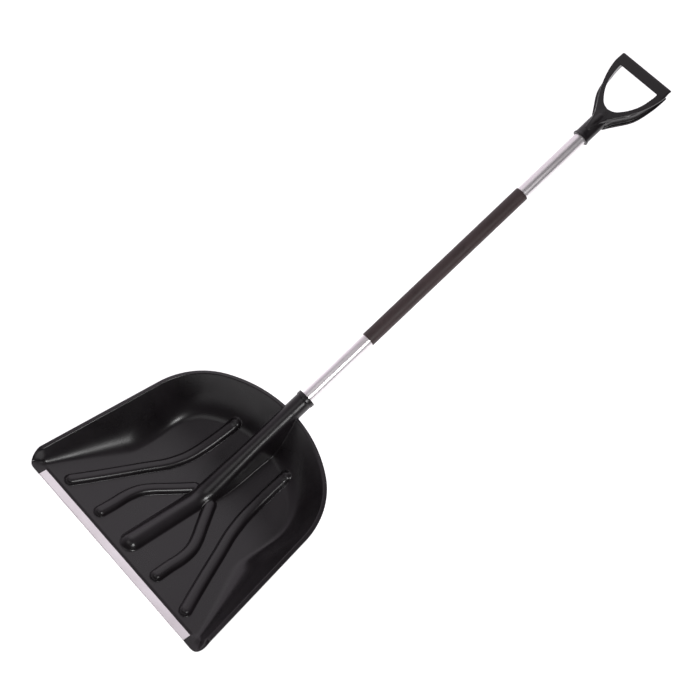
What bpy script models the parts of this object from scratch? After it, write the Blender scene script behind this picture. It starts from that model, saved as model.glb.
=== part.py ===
"""Grain scoop shovel, modelled in metres with +Z up.

The scoop floor lies flat on z = 0 and its front edge runs along X. The shaft rises
from the floor towards +Y and carries a D-handle at its end. Everything is drawn with
the front edge at y = 0, then moved so that the origin sits on the floor's underside.
"""
import math

import bmesh
import bpy
from mathutils import Matrix, Vector

# Scoop blade
WALL = 0.0030               # moulded wall thickness
EAR_RADIUS = 0.018          # plan radius of the two front corners
SIDE_LEAN = math.radians(7.5)   # each side closes in by this angle towards the back
SIDE_END = Vector((0.2055, 0.2585))   # where a straight side meets the corner arc
CORNER_RADIUS = 0.147
BACK_TURN = math.radians(60)    # normal angle where the corner arc meets the back arc
BACK_RADIUS = 0.262
LIP = 0.0075                # width of the flat rim lip
RIM_FRONT = 0.019           # rim height above the floor, projected to the front edge
RIM_SLOPE = 0.258           # rise of the rim per metre towards the back
EAR_RISE = 0.025            # length over which the rim climbs out of the floor
SIDE_RUN = 0.64             # how far a side wall leans out per metre of height
BACK_RUN = 0.37             # the same for the back wall
FLOOR_RISE = 0.42           # slope of the floor's back part
FLOOR_RISE_Y = 0.247        # where the floor starts to rise
FLOOR_BEND = 0.045          # half length of the soft bend there

ORIGIN_BEHIND_EDGE = 0.025  # the part's origin lies this far behind the front edge

# Ribs of the blade
RIB_RADIUS = 0.0127
RIB_SINK = 0.0039           # the rib's centre line runs this far under the surface
SPINE_HALF_WIDTH = 0.0195
SPINE_HEIGHT = 0.0125
RIB_WALL = 0.0026

# Shaft line, measured from the point where its axis meets the floor
SHAFT_ANGLE = math.radians(34)
SHAFT_FOOT_Y = 0.2185       # the shaft axis meets the floor surface here
SOCKET_RADIUS = 0.0175
SOCKET_MOUTH = 0.260
BLADE_SCREW_AT = 0.236
HANDLE_SCREW_AT = 0.9945
COLLAR_RADIUS = 0.0190
COLLAR_LENGTH = 0.009
TUBE_RADIUS = 0.0125
TUBE_WALL = 0.0014
TUBE_START = 0.0760
TUBE_END = 1.0340
FIT = 0.0003                # clearance between neighbouring pieces
SLEEVE_RADIUS = 0.01425
SLEEVE_START = 0.415
SLEEVE_END = 0.816

# Handle
HANDLE_MOUTH = 0.9705
HANDLE_LENGTH = 0.183
GRIP_HALF = 0.0620
GRIP_DEPTH = 0.0280
GRIP_THICK = 0.0260
GRIP_EDGE = 0.0085
ARM_THICK = 0.0220
HANDLE_SOCKET = 0.0158
HANDLE_LIP = 0.0172

# Wear strip
STRIP_HALF = 0.2010
STRIP_DEPTH = 0.0145
STRIP_SHEET = 0.0010

SHAFT = Matrix((
    (1, 0, 0, 0),
    (0, math.sin(SHAFT_ANGLE), math.cos(SHAFT_ANGLE), SHAFT_FOOT_Y),
    (0, -math.cos(SHAFT_ANGLE), math.sin(SHAFT_ANGLE), WALL),
    (0, 0, 0, 1),
))


def clear_scene():
    for item in list(bpy.data.objects):
        bpy.data.objects.remove(item, do_unlink=True)


def make_collection(name):
    group = bpy.data.collections.new(name)
    bpy.context.scene.collection.children.link(group)
    return group


def linear(hex_colour):
    values = []
    for start in (0, 2, 4):
        part = int(hex_colour[start:start + 2], 16) / 255
        values.append(part / 12.92 if part <= 0.04045 else ((part + 0.055) / 1.055) ** 2.4)
    return (*values, 1.0)


def make_material(name, hex_colour, roughness, metallic):
    material = bpy.data.materials.new(name)
    material.use_nodes = True
    shader = material.node_tree.nodes["Principled BSDF"]
    shader.inputs["Base Color"].default_value = linear(hex_colour)
    shader.inputs["Roughness"].default_value = roughness
    shader.inputs["Metallic"].default_value = metallic
    material.diffuse_color = linear(hex_colour)
    return material


def object_from(name, work, group):
    bmesh.ops.recalc_face_normals(work, faces=work.faces)
    mesh = bpy.data.meshes.new(name)
    work.to_mesh(mesh)
    work.free()
    item = bpy.data.objects.new(name, mesh)
    group.objects.link(item)
    return item


def finish(item, material, angle=40):
    item.data.materials.clear()
    item.data.materials.append(material)
    for face in item.data.polygons:
        face.use_smooth = True
    item.data.set_sharp_from_angle(angle=math.radians(angle))


def as_guide(item):
    item.hide_render = True
    item.display_type = "WIRE"


def combine(item, other, operation):
    step = item.modifiers.new(operation.lower() + " " + other.name, "BOOLEAN")
    step.operation = operation
    step.object = other
    step.solver = "EXACT"
    as_guide(other)


def settle(item):
    """Write the result of an object's modifiers into its own mesh."""
    graph = bpy.context.evaluated_depsgraph_get()
    mesh = bpy.data.meshes.new_from_object(item.evaluated_get(graph))
    item.modifiers.clear()
    item.data = mesh
    work = bmesh.new()
    work.from_mesh(mesh)
    bmesh.ops.remove_doubles(work, verts=work.verts, dist=0.000002)
    bmesh.ops.dissolve_degenerate(work, edges=work.edges, dist=0.000002)
    work.to_mesh(mesh)
    work.free()


def on_shaft(x, across, along):
    return SHAFT @ Vector((x, across, along))


# ---------------------------------------------------------------- blade shape

def smooth_step(value):
    value = min(max(value, 0.0), 1.0)
    return value * value * (3 - 2 * value)


def half_outline():
    """Right half of the rim seen from above: (point, outward normal) from ear to back."""
    side_normal = Vector((math.cos(SIDE_LEAN), math.sin(SIDE_LEAN)))
    reach = SIDE_END.x + (SIDE_END.y - EAR_RADIUS * (1 + side_normal.y)) * math.tan(SIDE_LEAN)
    ear_centre = Vector((reach - EAR_RADIUS * side_normal.x, EAR_RADIUS))
    corner_centre = SIDE_END - CORNER_RADIUS * side_normal
    turn = Vector((math.cos(BACK_TURN), math.sin(BACK_TURN)))
    meeting = corner_centre + CORNER_RADIUS * turn
    back_centre = Vector((0, meeting.y - math.sqrt(BACK_RADIUS ** 2 - meeting.x ** 2)))
    back_start = math.acos(meeting.x / BACK_RADIUS)
    found = []

    def arc(centre, radius, first, last, count):
        for step in range(count + 1):
            angle = first + (last - first) * step / count
            normal = Vector((math.cos(angle), math.sin(angle)))
            found.append((centre + radius * normal, normal))

    arc(ear_centre, EAR_RADIUS, -math.pi / 2, SIDE_LEAN, 7)
    start = found[-1][0]
    for step in range(1, 7):
        found.append((start.lerp(SIDE_END, step / 7), side_normal))
    arc(corner_centre, CORNER_RADIUS, SIDE_LEAN, BACK_TURN, 9)
    found.pop()
    arc(back_centre, BACK_RADIUS, back_start, math.pi / 2, 6)
    return found


def full_outline():
    right = half_outline()
    left = [(Vector((-point.x, point.y)), Vector((-normal.x, normal.y)))
            for point, normal in reversed(right[:-1])]
    return right + left


OUTLINE = full_outline()


def rim_height(y):
    return (RIM_FRONT + RIM_SLOPE * y) * smooth_step(y / EAR_RISE)


def lip_width(point, normal):
    slant = max(point.normalized().dot(normal), 0.4)
    return LIP * smooth_step(point.y / EAR_RISE) / slant


def rim_ahead(x, y):
    """Wall top point in the plan direction of (x, y)."""
    heading = Vector((x, y)).normalized()
    for (first, first_normal), (second, second_normal) in zip(OUTLINE, OUTLINE[1:]):
        before = first.x * heading.y - first.y * heading.x
        after = second.x * heading.y - second.y * heading.x
        if before >= 0 >= after:
            share = before / (before - after) if before > after else 0
            return first.lerp(second, share), first_normal.lerp(second_normal, share)
    return OUTLINE[0]


def floor_height(y):
    """Height of the floor: flat at the front, rising at the back after a soft bend."""
    past = y - FLOOR_RISE_Y
    if past <= -FLOOR_BEND:
        return 0.0
    if past < FLOOR_BEND:
        return FLOOR_RISE * (past + FLOOR_BEND) ** 2 / (4 * FLOOR_BEND)
    return FLOOR_RISE * past


def height_under(edge, normal, share):
    """Height of the inner face part of the way from the front middle to the wall top."""
    width = lip_width(edge, normal)
    reach = edge.length - width
    heading = edge.normalized()
    inset = (1 - share) * reach * max(heading.dot(normal), 0.4)
    run = SIDE_RUN + (BACK_RUN - SIDE_RUN) * smooth_step((edge.y - 0.22) / 0.14)
    rim = rim_height(edge.y)
    wall = rim - inset / run
    floor = floor_height(share * reach * heading.y)
    fillet = rim * (0.10 + 0.20 * smooth_step((edge.y - 0.15) / 0.20)) + 0.000001
    blend = min(max(0.5 + 0.5 * (wall - floor) / fillet, 0), 1)
    soft = floor + (wall - floor) * blend + fillet * blend * (1 - blend)
    return 0.0 if wall < floor - fillet and floor == 0 else min(soft, rim)


def surface_height(x, y):
    """Height of the blade's inner face above its floor."""
    if y <= 0.002:
        return 0.0
    edge, normal = rim_ahead(x, y)
    return height_under(edge, normal, math.hypot(x, y) / (edge.length - lip_width(edge, normal)))


RING_SHARES = (0.48, 0.56, 0.64, 0.71, 0.77, 0.82, 0.86, 0.895, 0.92, 0.94, 0.957, 0.972, 0.986,
               1.0)


def blade_rings():
    """Rows of points from the floor up the wall and out along the lip."""
    rings = []
    for share in RING_SHARES:
        row = []
        for edge, normal in OUTLINE:
            place = edge.normalized() * (edge.length - lip_width(edge, normal)) * share
            row.append(Vector((place.x, place.y, height_under(edge, normal, share))))
        rings.append(row)
    rings.append([Vector((edge.x, edge.y, rim_height(edge.y))) for edge, normal in OUTLINE])
    return rings


def blade_sheet():
    """Open inner face of the blade with the floor at z = WALL."""
    work = bmesh.new()
    middle = work.verts.new((0, 0, WALL))
    rows = [[work.verts.new(point + Vector((0, 0, WALL))) for point in ring]
            for ring in blade_rings()]
    for left, right in zip(rows[0], rows[0][1:]):
        work.faces.new((middle, left, right))
    for inner, outer in zip(rows, rows[1:]):
        for index in range(len(inner) - 1):
            work.faces.new((inner[index], outer[index], outer[index + 1], inner[index + 1]))
    bmesh.ops.remove_doubles(work, verts=work.verts, dist=0.00001)
    return work


def blade_shell(name, group):
    item = object_from(name, blade_sheet(), group)
    step = item.modifiers.new("moulded wall", "SOLIDIFY")
    step.thickness = WALL
    step.offset = -1
    step.use_even_offset = False
    settle(item)
    return item


def space_above(name, group, with_tail):
    """Closed body over the blade's mid surface, used to trim the ribs from below.
    The tail is the space behind the back wall that the round socket passes through."""
    work = blade_sheet()
    bmesh.ops.translate(work, verts=work.verts, vec=(0, 0, -WALL / 2))
    raised = bmesh.ops.extrude_face_region(work, geom=work.faces[:])
    for part in raised["geom"]:
        if isinstance(part, bmesh.types.BMVert):
            part.co.z = 0.30
    item = object_from(name, work, group)
    if with_tail:
        tail = box_body("tail space", (-0.04, 0.3780, 0.070), (0.04, 0.480, 0.290), group)
        combine(item, tail, "UNION")
        settle(item)
    return item


# ------------------------------------------------------------- simple bodies

def box_body(name, low, high, group):
    work = bmesh.new()
    size = [top - bottom for bottom, top in zip(low, high)]
    centre = [(top + bottom) / 2 for bottom, top in zip(low, high)]
    bmesh.ops.create_cube(work, size=1)
    bmesh.ops.scale(work, verts=work.verts, vec=size)
    bmesh.ops.translate(work, verts=work.verts, vec=centre)
    return object_from(name, work, group)


def shaft_cylinder(name, radius, start, end, group, sides=40):
    work = bmesh.new()
    bmesh.ops.create_cone(work, cap_ends=True, segments=sides, radius1=radius,
                          radius2=radius, depth=end - start)
    bmesh.ops.translate(work, verts=work.verts, vec=(0, 0, (start + end) / 2))
    bmesh.ops.transform(work, verts=work.verts, matrix=SHAFT)
    return object_from(name, work, group)


def turned_ring(name, inner, outer, start, end, group, sides=40):
    """Tube turned about the shaft axis with a Screw modifier."""
    work = bmesh.new()
    corners = [(outer, end), (outer, start), (inner, start), (inner, end)]
    verts = [work.verts.new((radius, 0, height)) for radius, height in corners]
    for index in range(4):
        work.edges.new((verts[index], verts[(index + 1) % 4]))
    mesh = bpy.data.meshes.new(name)
    work.to_mesh(mesh)
    work.free()
    item = bpy.data.objects.new(name, mesh)
    group.objects.link(item)
    turn = item.modifiers.new("turned", "SCREW")
    turn.steps = sides
    turn.render_steps = sides
    turn.axis = "Z"
    turn.use_merge_vertices = True
    turn.merge_threshold = 0.00001
    settle(item)
    work = bmesh.new()
    work.from_mesh(item.data)
    bmesh.ops.transform(work, verts=work.verts, matrix=SHAFT)
    bmesh.ops.recalc_face_normals(work, faces=work.faces)
    work.to_mesh(item.data)
    work.free()
    return item


def keel_body(name, outline, half_width, group):
    """Slab across the blade's middle: outline is a list of (y, z)."""
    work = bmesh.new()
    face = work.faces.new([work.verts.new((-half_width, y, z)) for y, z in outline])
    pushed = bmesh.ops.extrude_face_region(work, geom=[face])
    moved = [part for part in pushed["geom"] if isinstance(part, bmesh.types.BMVert)]
    bmesh.ops.translate(work, verts=moved, vec=(2 * half_width, 0, 0))
    return object_from(name, work, group)


# --------------------------------------------------------------------- ribs

def smooth_path(corners, steps):
    """Points of a curve that passes through every corner."""
    ends = [2 * corners[0] - corners[1]] + corners + [2 * corners[-1] - corners[-2]]
    path = []
    for before, first, second, after in zip(ends, ends[1:], ends[2:], ends[3:]):
        for step in range(steps):
            share = step / steps
            path.append(0.5 * (2 * first + share * (second - before)
                               + share ** 2 * (2 * before - 5 * first + 4 * second - after)
                               + share ** 3 * (3 * first - before - 3 * second + after)))
    return path + [corners[-1]]


def domed_path(path, radius):
    """Add closely spaced end points whose radius follows a half circle."""
    head = (path[1] - path[0]).normalized()
    tail = (path[-1] - path[-2]).normalized()
    body = [(point, 1.0) for point in path]
    front = []
    back = []
    for angle in (12, 35, 62):
        fall = math.sin(math.radians(angle))
        reach = radius * math.cos(math.radians(angle))
        front.append((path[0] - head * reach, fall))
        back.append((path[-1] + tail * reach, fall))
    return front + body + back[::-1]


def tube_body(name, stations, radius, group):
    """Closed round body along (point, radius share) stations."""
    curve = bpy.data.curves.new(name, "CURVE")
    curve.dimensions = "3D"
    curve.bevel_depth = radius
    curve.bevel_resolution = 2
    curve.use_fill_caps = True
    line = curve.splines.new("POLY")
    line.points.add(len(stations) - 1)
    for point, (place, share) in zip(line.points, stations):
        point.co = (*place, 1)
        point.radius = share
    item = bpy.data.objects.new(name, curve)
    group.objects.link(item)
    bpy.context.view_layer.update()
    graph = bpy.context.evaluated_depsgraph_get()
    mesh = bpy.data.meshes.new_from_object(item.evaluated_get(graph))
    bpy.data.objects.remove(item, do_unlink=True)
    work = bmesh.new()
    work.from_mesh(mesh)
    bmesh.ops.remove_doubles(work, verts=work.verts, dist=0.000002)
    return object_from(name, work, group)


def rib_centre(corners, sink):
    """Rib path laid on the blade's inner face and lowered by sink."""
    raised = [Vector((x, y, surface_height(x, y) + WALL - sink)) for x, y in corners]
    return smooth_path(raised, 3)


OUTER_RIB = [(0.1600, 0.0385), (0.1445, 0.074), (0.1270, 0.116), (0.1100, 0.158),
             (0.0928, 0.199), (0.0850, 0.224), (0.0792, 0.248), (0.0754, 0.279),
             (0.0728, 0.312), (0.0715, 0.346)]
INNER_RIB = [(0.0786, 0.041), (0.0778, 0.068), (0.0780, 0.098), (0.0740, 0.124),
             (0.0637, 0.147), (0.0485, 0.171), (0.0330, 0.196), (0.0224, 0.2135)]


def add_rib(blade_parts, cut_parts, name, corners, group):
    for side, word in ((1, "right"), (-1, "left")):
        turned = [(side * x, y) for x, y in corners]
        outer = domed_path(rib_centre(turned, RIB_SINK), RIB_RADIUS)
        inner = domed_path(rib_centre(turned, RIB_SINK), RIB_RADIUS - RIB_WALL)
        blade_parts.append(tube_body(name + " " + word, outer, RIB_RADIUS, group))
        cut_parts.append(tube_body(name + " hollow " + word, inner,
                                   RIB_RADIUS - RIB_WALL, group))


def spine_body(name, half_width, height, group):
    """Low straight rib from the front of the floor to the socket's foot."""
    path = [Vector((0, 0.0475 + 0.022 * step, 0)) for step in range(9)]
    item = tube_body(name, domed_path(path, half_width), half_width, group)
    work = bmesh.new()
    work.from_mesh(item.data)
    bmesh.ops.scale(work, verts=work.verts, vec=(1, 1, height / half_width))
    bmesh.ops.translate(work, verts=work.verts, vec=(0, 0, WALL - 0.0005))
    work.to_mesh(item.data)
    work.free()
    return item


def shaft_line(along, lift):
    """(y, z) of a point a given way along the shaft and above its axis."""
    point = on_shaft(0, -lift, along)
    return point.y, point.z


def keel_outline(lift, front, back):
    return [(shaft_line(front, lift)[0], -0.02), shaft_line(front, lift),
            shaft_line(back, lift), (shaft_line(back, lift)[0], -0.02)]


def build_blade(parts, cutters, material):
    blade = blade_shell("scoop_blade", parts)
    trim = space_above("space above blade", cutters, False)
    tail_trim = space_above("space above and behind blade", cutters, True)
    raised = []
    hollow = []
    add_rib(raised, hollow, "outer rib", OUTER_RIB, cutters)
    add_rib(raised, hollow, "inner rib", INNER_RIB, cutters)
    raised.append(spine_body("spine", SPINE_HALF_WIDTH, SPINE_HEIGHT, cutters))
    raised.append(keel_body("keel", keel_outline(0.001, -0.004, 0.205),
                            SOCKET_RADIUS - 0.0006, cutters))
    socket = shaft_cylinder("socket", SOCKET_RADIUS, -0.030, SOCKET_MOUTH, cutters)
    for body in raised + [socket]:
        combine(body, tail_trim if body is socket else trim, "INTERSECT")
        settle(body)
        combine(blade, body, "UNION")
        settle(blade)
    collar = shaft_cylinder("collar", COLLAR_RADIUS, SOCKET_MOUTH - COLLAR_LENGTH,
                            SOCKET_MOUTH + 0.0004, cutters)
    combine(blade, collar, "UNION")
    settle(blade)
    hollow.append(spine_body("spine hollow", SPINE_HALF_WIDTH - 0.0028,
                             SPINE_HEIGHT - 0.0028, cutters))
    hollow.append(keel_body("keel hollow", keel_outline(0.0085, 0.012, 0.066),
                            SOCKET_RADIUS - 0.0036, cutters))
    hollow.append(keel_body("keel hollow behind", keel_outline(-0.0166, 0.084, 0.172),
                            SOCKET_RADIUS - 0.0042, cutters))
    hollow.append(shaft_cylinder("tube bore", TUBE_RADIUS + FIT, TUBE_START - 0.002,
                                 SOCKET_MOUTH + 0.02, cutters))
    hollow.append(box_body("strip seat", (-STRIP_HALF - FIT, -0.01, -0.01),
                           (STRIP_HALF + FIT, STRIP_DEPTH + FIT, STRIP_SHEET + FIT), cutters))
    hollow.append(shaft_screw_hole("blade screw hole", BLADE_SCREW_AT, COLLAR_RADIUS, cutters))
    for body in hollow:
        combine(blade, body, "DIFFERENCE")
        settle(blade)
    finish(blade, material)
    return blade


# ------------------------------------------------------- strip, tube, sleeve

def build_strip(parts, material):
    """Folded wear strip: one sheet wrapped over the front edge of the floor."""
    top = WALL + FIT + STRIP_SHEET
    back = STRIP_DEPTH
    nose = -FIT - STRIP_SHEET
    sheet = STRIP_SHEET
    outline = [(back, 0), (nose + 0.0006, 0), (nose, 0.0006), (nose, top - 0.0006),
               (nose + 0.0006, top), (back, top), (back, top - sheet),
               (nose + sheet, top - sheet), (nose + sheet, sheet), (back, sheet)]
    item = keel_body("edge_strip", outline, STRIP_HALF, parts)
    finish(item, material, 30)
    return item


def build_tube(parts, cutters, material):
    item = turned_ring("shaft_tube", TUBE_RADIUS - TUBE_WALL, TUBE_RADIUS,
                       TUBE_START, TUBE_END, parts)
    for name, along in (("tube hole at blade", BLADE_SCREW_AT),
                        ("tube hole at handle", HANDLE_SCREW_AT)):
        combine(item, shaft_pin(name, along, 0.0023, 0.004, 0.02, cutters), "DIFFERENCE")
        settle(item)
    finish(item, material)
    return item


def build_sleeve(parts, material):
    item = turned_ring("mid_grip_sleeve", TUBE_RADIUS + FIT, SLEEVE_RADIUS,
                       SLEEVE_START, SLEEVE_END, parts)
    bevel = item.modifiers.new("rounded ends", "BEVEL")
    bevel.width = 0.0005
    bevel.segments = 2
    bevel.limit_method = "ANGLE"
    bevel.angle_limit = math.radians(50)
    settle(item)
    finish(item, material)
    return item


# ------------------------------------------------------------------- screws

def shaft_pin(name, along, radius, start, end, group, sides=16):
    """Round body square to the shaft on its underside, from start to end off the axis."""
    work = bmesh.new()
    bmesh.ops.create_cone(work, cap_ends=True, segments=sides, radius1=radius,
                          radius2=radius, depth=end - start)
    bmesh.ops.translate(work, verts=work.verts, vec=(0, 0, (start + end) / 2))
    stand = Matrix.Translation((0, 0, along)) @ Matrix.Rotation(math.radians(-90), 4, "X")
    bmesh.ops.transform(work, verts=work.verts, matrix=SHAFT @ stand)
    return object_from(name, work, group)


def shaft_screw_hole(name, along, surface, group):
    return shaft_pin(name, along, 0.0023, 0.004, surface + 0.01, group)


def build_screw(name, along, seat, parts, material):
    """Pan-head self-tapping screw turned about its own axis, seated on the underside."""
    work = bmesh.new()
    profile = [(0.00002, seat + 0.0027), (0.0022, seat + 0.0025), (0.0036, seat + 0.0016),
               (0.0039, seat + FIT), (0.0019, seat + FIT), (0.0019, 0.0065),
               (0.00002, 0.0045)]
    verts = [work.verts.new((radius, 0, height)) for radius, height in profile]
    for first, second in zip(verts, verts[1:]):
        work.edges.new((first, second))
    bmesh.ops.spin(work, geom=work.verts[:] + work.edges[:], cent=(0, 0, 0), axis=(0, 0, 1),
                   angle=math.tau, steps=20, use_merge=True)
    bmesh.ops.remove_doubles(work, verts=work.verts, dist=0.00005)
    stand = Matrix.Translation((0, 0, along)) @ Matrix.Rotation(math.radians(-90), 4, "X")
    bmesh.ops.transform(work, verts=work.verts, matrix=SHAFT @ stand)
    item = object_from(name, work, parts)
    finish(item, material)
    return item


# ------------------------------------------------------------------- handle

def flat_body(name, corners, half_depth, group):
    """Outline through (x, distance from handle mouth) corners, extruded both ways."""
    curve = bpy.data.curves.new(name, "CURVE")
    curve.dimensions = "2D"
    curve.fill_mode = "BOTH"
    curve.extrude = half_depth
    curve.resolution_u = 3
    line = curve.splines.new("BEZIER")
    line.bezier_points.add(len(corners) - 1)
    for point, (x, along) in zip(line.bezier_points, corners):
        point.co = (x, HANDLE_MOUTH + along, 0)
        point.handle_left_type = "AUTO"
        point.handle_right_type = "AUTO"
    line.use_cyclic_u = True
    item = bpy.data.objects.new(name, curve)
    group.objects.link(item)
    bpy.context.view_layer.update()
    graph = bpy.context.evaluated_depsgraph_get()
    mesh = bpy.data.meshes.new_from_object(item.evaluated_get(graph))
    bpy.data.objects.remove(item, do_unlink=True)
    work = bmesh.new()
    work.from_mesh(mesh)
    bmesh.ops.remove_doubles(work, verts=work.verts, dist=0.000002)
    upright = SHAFT @ Matrix.Rotation(math.radians(90), 4, "X")
    bmesh.ops.transform(work, verts=work.verts, matrix=upright)
    return object_from(name, work, group)


def both_sides(half):
    """Mirror a run of (x, along) corners that starts and ends near the middle."""
    return half + [(-x, along) for x, along in reversed(half) if abs(x) > 0.0005]


OUTER_EDGE = [(0.0150, 0.034), (0.0192, 0.046), (0.0293, 0.0616), (0.0407, 0.079),
              (0.0512, 0.1015), (0.0584, 0.129), (0.0618, 0.154), (0.0600, 0.168)]
HAND_EDGE = [(0.0, 0.0760), (0.0120, 0.0798), (0.0219, 0.0880), (0.0323, 0.1020),
             (0.0406, 0.1200), (0.0455, 0.1410), (0.0468, 0.1520), (0.0455, 0.1568),
             (0.0300, 0.1575)]


def build_handle(parts, cutters, material):
    handle = flat_body("d_handle", both_sides(OUTER_EDGE), ARM_THICK / 2, parts)
    groove_web = [(x * 1.08 + (0.0034 if x > 0 else 0), along - 0.0032)
                  for x, along in HAND_EDGE[:6]]
    for side, word in ((1, "right"), (-1, "left")):
        ring = [(side * 0.0265, 0.067)]
        ring += [(side * x, along) for x, along in groove_web[2:]]
        ring += [(side * 0.080, 0.142), (side * 0.080, 0.064), (side * 0.030, 0.039)]
        groove = flat_body("arm groove " + word, ring, ARM_THICK / 2 - 0.0030, cutters)
        combine(handle, groove, "DIFFERENCE")
        settle(handle)
    grip = grip_body("grip bar", cutters)
    combine(handle, grip, "UNION")
    settle(handle)
    hand = flat_body("hand space", both_sides(HAND_EDGE), 0.03, cutters)
    combine(handle, hand, "DIFFERENCE")
    settle(handle)
    socket = handle_socket("handle socket", cutters)
    combine(handle, socket, "UNION")
    settle(handle)
    for body in (shaft_cylinder("handle bore", TUBE_RADIUS + FIT, HANDLE_MOUTH - 0.02,
                                TUBE_END + 0.001, cutters),
                 shaft_screw_hole("handle screw hole", HANDLE_SCREW_AT, HANDLE_LIP, cutters)):
        combine(handle, body, "DIFFERENCE")
        settle(handle)
    finish(handle, material)
    return handle


def grip_body(name, group):
    """Straight grip bar with well rounded long edges and ends."""
    work = bmesh.new()
    bmesh.ops.create_cube(work, size=1)
    bmesh.ops.scale(work, verts=work.verts, vec=(2 * GRIP_HALF, GRIP_THICK, GRIP_DEPTH))
    bmesh.ops.translate(work, verts=work.verts, vec=(0, 0, HANDLE_MOUTH + HANDLE_LENGTH - GRIP_DEPTH / 2))
    bmesh.ops.transform(work, verts=work.verts, matrix=SHAFT)
    item = object_from(name, work, group)
    bevel = item.modifiers.new("rounded", "BEVEL")
    bevel.width = GRIP_EDGE
    bevel.segments = 4
    settle(item)
    return item


def handle_socket(name, group):
    """Turned socket: lip at the mouth, slender neck, rounded crown inside the fork."""
    work = bmesh.new()
    profile = [(0.00002, 0.0750), (0.0080, 0.0740), (0.0130, 0.0700), (0.0155, 0.0620),
               (HANDLE_SOCKET, 0.0490), (HANDLE_SOCKET, 0.0070),
               (HANDLE_LIP, 0.0050), (HANDLE_LIP, 0.0), (0.00002, 0.0)]
    verts = [work.verts.new((radius, 0, HANDLE_MOUTH + height)) for radius, height in profile]
    for first, second in zip(verts, verts[1:]):
        work.edges.new((first, second))
    bmesh.ops.spin(work, geom=work.verts[:] + work.edges[:], cent=(0, 0, 0), axis=(0, 0, 1),
                   angle=math.tau, steps=40, use_merge=True)
    bmesh.ops.remove_doubles(work, verts=work.verts, dist=0.00005)
    bmesh.ops.transform(work, verts=work.verts, matrix=SHAFT)
    return object_from(name, work, group)


def build_shovel():
    clear_scene()
    parts = make_collection("grain scoop shovel")
    cutters = make_collection("cutters")
    moulded = make_material("moulded polypropylene", "29262A", 0.38, 0.0)
    grip = make_material("satin grip sleeve", "35312F", 0.62, 0.0)
    aluminium = make_material("anodised aluminium", "D9D6D6", 0.30, 1.0)
    zinc = make_material("zinc plated steel", "B4B6B8", 0.35, 1.0)
    build_blade(parts, cutters, moulded)
    build_strip(parts, aluminium)
    build_tube(parts, cutters, aluminium)
    build_sleeve(parts, grip)
    build_handle(parts, cutters, moulded)
    build_screw("blade_screw", BLADE_SCREW_AT, SOCKET_RADIUS, parts, zinc)
    build_screw("handle_screw", HANDLE_SCREW_AT, HANDLE_SOCKET, parts, zinc)
    for item in list(parts.objects) + list(cutters.objects):
        item.data.transform(Matrix.Translation((0, -ORIGIN_BEHIND_EDGE, 0)))


build_shovel()
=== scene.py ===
"""Grain scoop shovel: the finished look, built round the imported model.

Shapes are drawn with the scoop's front edge at y = 0 and moved back by
ORIGIN_BEHIND_EDGE when they become objects. Metres, +Z up.
"""

import math
from functools import partial

import bpy
import numpy as np
from mathutils import Matrix, Vector
from mathutils.geometry import delaunay_2d_cdt
from mathutils.kdtree import KDTree


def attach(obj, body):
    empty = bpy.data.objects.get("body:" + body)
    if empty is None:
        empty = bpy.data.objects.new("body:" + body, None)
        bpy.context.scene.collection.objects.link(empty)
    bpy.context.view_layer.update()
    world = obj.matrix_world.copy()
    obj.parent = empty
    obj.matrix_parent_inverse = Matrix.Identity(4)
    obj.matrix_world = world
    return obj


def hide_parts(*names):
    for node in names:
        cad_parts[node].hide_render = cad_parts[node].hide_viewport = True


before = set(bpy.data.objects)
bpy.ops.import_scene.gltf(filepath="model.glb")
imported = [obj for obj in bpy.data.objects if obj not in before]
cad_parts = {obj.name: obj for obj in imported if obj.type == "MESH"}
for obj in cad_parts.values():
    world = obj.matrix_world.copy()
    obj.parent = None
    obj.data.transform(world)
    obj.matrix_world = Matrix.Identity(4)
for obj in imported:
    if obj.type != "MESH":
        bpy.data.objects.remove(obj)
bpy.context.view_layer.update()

MM = 0.001
ORIGIN_BEHIND_EDGE = 0.025

# Scoop blade
WALL = 0.0030
EAR_RADIUS = 0.018
SIDE_LEAN = math.radians(7.5)
SIDE_END = np.array((0.2055, 0.2585))
CORNER_RADIUS = 0.147
BACK_TURN = math.radians(60)
BACK_RADIUS = 0.262
LIP = 0.0075
RIM_FRONT = 0.019
RIM_SLOPE = 0.258
EAR_RISE = 0.025
SIDE_RUN = 0.60             # how far a side wall leans out per metre of height
BACK_RUN = 0.37             # the same for the back wall
FLOOR_RISE = 0.42           # slope of the floor's back part
FLOOR_RISE_Y = 0.247        # where the floor starts to rise
FLOOR_BEND = 0.045          # half length of the soft bend there
LIP_BEND = 0.0018           # softness of the bend between wall and lip
EDGE_ROUND = 0.0010         # radius of the rim's outer edge
EAR_TO_WALL = (0.020, 0.080)      # the walls grow out of the front ears over these y
SIDE_TO_BACK = (0.22, 0.36)       # a side wall's lean turns into the back wall's here
FOLD_SOFTNESS = (0.45, 0.35)      # softness of the folds over the rim's height,
FOLD_CHANGE = (0.15, 0.35)        # and the y over which the first turns into the second
SKIRT_DROP = 0.0022         # how far the rim's turned edge hangs below the lip
SKIRT_THICK = 0.0024

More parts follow.
